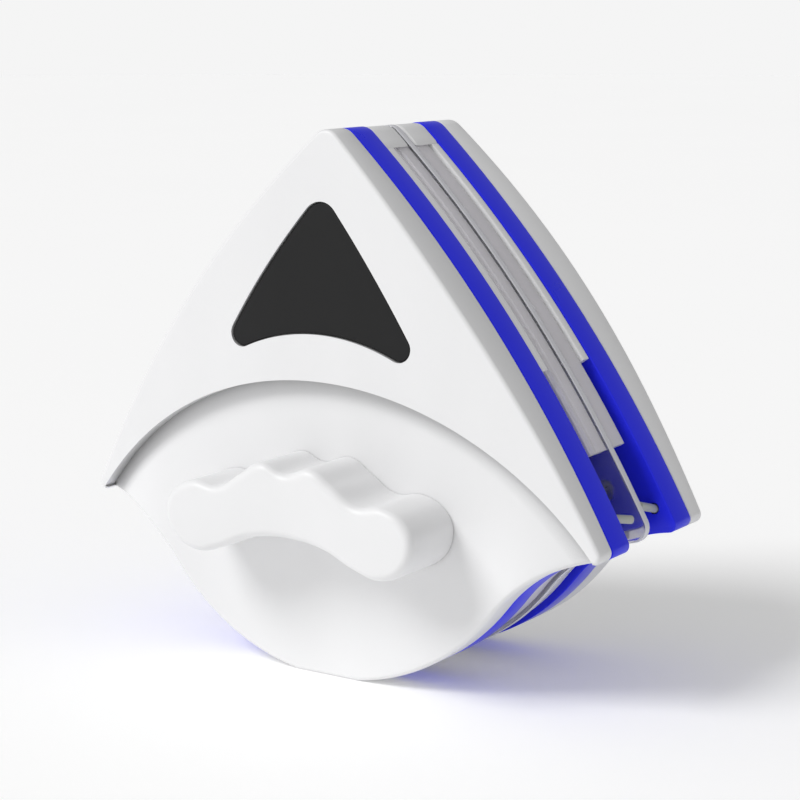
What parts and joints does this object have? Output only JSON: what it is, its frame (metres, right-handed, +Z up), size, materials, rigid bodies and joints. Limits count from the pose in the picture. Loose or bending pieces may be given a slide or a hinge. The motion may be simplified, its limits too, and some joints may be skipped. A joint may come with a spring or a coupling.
{
  "type": "magnetic glass cleaner",
  "caption": "Rounded-triangle double-sided magnetic glass cleaner: two shells with inner blades and pads, a grip, and a clear sheet between them.",
  "frame": {"origin": "on the surface it stands on, under the middle of the bounding box", "axes": "+X from the left corner to the right corner seen from the handle side, +Y from the handle side to the back, +Z up from the belly to the apex"},
  "size_m": [0.1822, 0.0962, 0.1637],
  "materials": {
    "white_abs": "satin moulded",
    "blue_abs": "glossy moulded",
    "black_inlay": "fine satin",
    "clear_blade": "translucent, smooth",
    "clear_sheet": "clear, polished",
    "microfibre": "looped pile",
    "grey_acetal": "moulded",
    "nickel_magnet": "nickel plated",
    "zinc_steel": "zinc plated"
  },
  "bodies": {
    "front_half": {"front_base": "blue_abs", "front_blade_bottom": "clear_blade", "front_blade_left": "clear_blade", "front_blade_right": "clear_blade", "front_carrier_left": "white_abs", "front_carrier_right": "white_abs", "front_cover": "white_abs", "front_inlay": "black_inlay", "front_magnet_1": "nickel_magnet", "front_magnet_2": "nickel_magnet", "front_magnet_3": "nickel_magnet", "front_magnet_4": "nickel_magnet", "front_pad": "microfibre", "front_post_left": "grey_acetal", "front_post_right": "grey_acetal", "front_screw_left": "zinc_steel", "front_screw_right": "zinc_steel", "front_screw_top": "zinc_steel", "front_tip_clip": "white_abs", "front_yoke_plate": "zinc_steel", "handle": "white_abs", "handle_screw_left": "zinc_steel", "handle_screw_right": "zinc_steel"},
    "rear_half": {"rear_base": "blue_abs", "rear_blade_bottom": "clear_blade", "rear_blade_left": "clear_blade", "rear_blade_right": "clear_blade", "rear_carrier_left": "white_abs", "rear_carrier_right": "white_abs", "rear_cover": "white_abs", "rear_inlay": "black_inlay", "rear_magnet_1": "nickel_magnet", "rear_magnet_2": "nickel_magnet", "rear_magnet_3": "nickel_magnet", "rear_magnet_4": "nickel_magnet", "rear_pad": "microfibre", "rear_post_left": "grey_acetal", "rear_post_right": "grey_acetal", "rear_screw_left": "zinc_steel", "rear_screw_right": "zinc_steel", "rear_screw_top": "zinc_steel", "rear_tip_clip": "white_abs", "rear_yoke_plate": "zinc_steel", "tether_eye": "zinc_steel"},
    "separator": {"separator_sheet": "clear_sheet"}
  },
  "joints": [
    {"name": "rear_half_slide", "type": "slide", "parent": "front_half", "child": "rear_half", "axis": [0, 1, 0], "range_m": [0, 0.03], "stiffness_N_per_m": 120, "springref_m": -0.15},
    {"name": "separator_slide", "type": "slide", "parent": "front_half", "child": "separator", "axis": [0, 0, 1], "range_m": [0, 0.17]}
  ]
}
